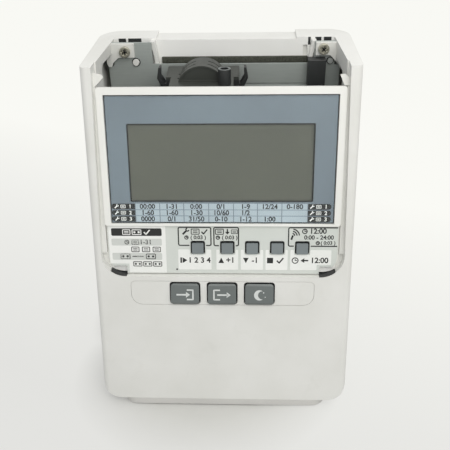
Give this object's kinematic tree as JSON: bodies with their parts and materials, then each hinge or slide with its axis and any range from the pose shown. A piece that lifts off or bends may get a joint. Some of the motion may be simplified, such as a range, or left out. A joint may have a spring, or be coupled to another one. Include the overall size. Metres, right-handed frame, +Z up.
{
  "type": "time clock",
  "caption": "Leaning desktop card time recorder with a wide display, setting keys, grey punch keys and an open top over its card mouth, print carriage and ribbon cassette.",
  "frame": {"origin": "middle of the underside, level with the soles of the feet", "axes": "+X to the viewer's right, +Y to the back, +Z up; the face looks towards -Y"},
  "size_m": [0.158, 0.119, 0.215],
  "materials": {
    "case_white": "fine moulded satin",
    "base_grey": "satin",
    "rubber_black": "matt",
    "key_grey": "satin",
    "panel_white": "satin",
    "printed_sheet": "printed film",
    "window_clear": "clear",
    "mask_blue": "printed behind the window",
    "lcd_grey": "polarising film",
    "board_green": "solder mask",
    "black_plastic": "satin",
    "chassis_steel": "coated sheet",
    "screw_steel": "plated",
    "foam_black": "open foam",
    "shaft_steel": "ground",
    "head_metal": "dark cast",
    "cassette_black": "fine moulded matt",
    "ribbon_fabric": "inked",
    "motor_steel": "plated can",
    "pulley_metal": "turned",
    "gear_white": "acetal",
    "pinion_brass": "turned",
    "core_iron": "varnished laminations"
  },
  "bodies": {
    "housing": {"main_case": "case_white", "mouth_ribs": "case_white", "back_cover": "case_white", "cover_screws": "screw_steel", "base_plate": "base_grey", "base_screws": "screw_steel", "rubber_feet": "rubber_black", "cord_gland": "rubber_black", "key_bezel": "case_white", "punch_board": "board_green", "punch_switches": "black_plastic", "key_panel": "panel_white", "printed_sheet": "printed_sheet", "display_frame": "panel_white", "display_window": "window_clear", "window_mask": "mask_blue", "lcd_cell": "lcd_grey", "lcd_holder": "panel_white", "control_board": "board_green", "control_switches": "black_plastic", "chassis": "chassis_steel", "corner_screws": "screw_steel", "locating_pins": "panel_white", "card_guide": "panel_white", "foam_strip": "foam_black", "platen": "rubber_black", "card_sensor": "black_plastic", "guide_shaft": "shaft_steel", "guide_rail": "shaft_steel", "carriage_motor": "motor_steel", "idler_pin": "shaft_steel", "timing_belt": "rubber_black", "feed_motor": "motor_steel", "main_board": "board_green", "backup_battery": "shaft_steel", "transformer": "core_iron"},
    "clock_in_key": {"clock_in_key": "key_grey"},
    "clock_out_key": {"clock_out_key": "key_grey"},
    "overnight_key": {"overnight_key": "key_grey"},
    "menu_key": {"menu_key": "key_grey"},
    "up_key": {"up_key": "key_grey"},
    "down_key": {"down_key": "key_grey"},
    "set_key": {"set_key": "key_grey"},
    "clock_key": {"clock_key": "key_grey"},
    "carriage": {"carriage": "black_plastic", "print_head": "head_metal"},
    "cassette": {"cassette_case": "cassette_black", "cassette_lid": "cassette_black", "ink_ribbon": "ribbon_fabric"},
    "ribbon_knob": {"ribbon_knob": "black_plastic"},
    "motor_pulley": {"motor_pulley": "pulley_metal"},
    "idler_pulley": {"idler_pulley": "pulley_metal"},
    "feed_roller": {"feed_shaft": "shaft_steel", "feed_rollers": "rubber_black", "feed_gear": "gear_white"},
    "feed_pinion": {"feed_pinion": "pinion_brass"},
    "pinch_roller": {"pinch_shaft": "shaft_steel", "pinch_rollers": "rubber_black"}
  },
  "joints": [
    {"name": "clock_in_press", "type": "slide", "parent": "housing", "child": "clock_in_key", "axis": [0, 0.9744, -0.225], "range_m": [0, 0.0012], "stiffness_N_per_m": 300},
    {"name": "clock_out_press", "type": "slide", "parent": "housing", "child": "clock_out_key", "axis": [0, 0.9744, -0.225], "range_m": [0, 0.0012], "stiffness_N_per_m": 300},
    {"name": "overnight_press", "type": "slide", "parent": "housing", "child": "overnight_key", "axis": [0, 0.9744, -0.225], "range_m": [0, 0.0012], "stiffness_N_per_m": 300},
    {"name": "menu_press", "type": "slide", "parent": "housing", "child": "menu_key", "axis": [0, 0.9744, -0.225], "range_m": [0, 0.0008], "stiffness_N_per_m": 300},
    {"name": "up_press", "type": "slide", "parent": "housing", "child": "up_key", "axis": [0, 0.9744, -0.225], "range_m": [0, 0.0008], "stiffness_N_per_m": 300},
    {"name": "down_press", "type": "slide", "parent": "housing", "child": "down_key", "axis": [0, 0.9744, -0.225], "range_m": [0, 0.0008], "stiffness_N_per_m": 300},
    {"name": "set_press", "type": "slide", "parent": "housing", "child": "set_key", "axis": [0, 0.9744, -0.225], "range_m": [0, 0.0008], "stiffness_N_per_m": 300},
    {"name": "clock_press", "type": "slide", "parent": "housing", "child": "clock_key", "axis": [0, 0.9744, -0.225], "range_m": [0, 0.0008], "stiffness_N_per_m": 300},
    {"name": "carriage_slide", "type": "slide", "parent": "housing", "child": "carriage", "axis": [1, 0, 0], "range_m": [-0.028, 0.041]},
    {"name": "cassette_lift", "type": "slide", "parent": "carriage", "child": "cassette", "axis": [0, 0, 1], "range_m": [0, 0.07]},
    {"name": "knob_turn", "type": "hinge", "parent": "cassette", "child": "ribbon_knob", "pos_m": [0.0018, 0.00547, 0.2064], "axis": [0, 0, 1], "continuous": true},
    {"name": "motor_pulley_turn", "type": "hinge", "parent": "housing", "child": "motor_pulley", "pos_m": [-0.056, 0.0325, 0.15], "axis": [0, 1, 0], "range_deg": [-290, 425]},
    {"name": "idler_turn", "type": "hinge", "parent": "housing", "child": "idler_pulley", "pos_m": [0.059, 0.0325, 0.15], "axis": [0, 1, 0], "range_deg": [-290, 425]},
    {"name": "feed_turn", "type": "hinge", "parent": "housing", "child": "feed_roller", "pos_m": [0, 0.0299, 0.12], "axis": [1, 0, 0], "continuous": true},
    {"name": "pinion_turn", "type": "hinge", "parent": "housing", "child": "feed_pinion", "pos_m": [0.0715, 0.0107, 0.12], "axis": [1, 0, 0], "continuous": true},
    {"name": "pinch_turn", "type": "hinge", "parent": "housing", "child": "pinch_roller", "pos_m": [0.006, 0.0431, 0.12], "axis": [1, 0, 0], "continuous": true}
  ],
  "couplings": [
    {"joint": "motor_pulley_turn", "follows": "carriage_slide", "rad_per_m": 178.57},
    {"joint": "idler_turn", "follows": "carriage_slide", "rad_per_m": 178.57},
    {"joint": "pinion_turn", "follows": "feed_turn", "ratio": -3},
    {"joint": "pinch_turn", "follows": "feed_turn", "ratio": -2.0238}
  ]
}
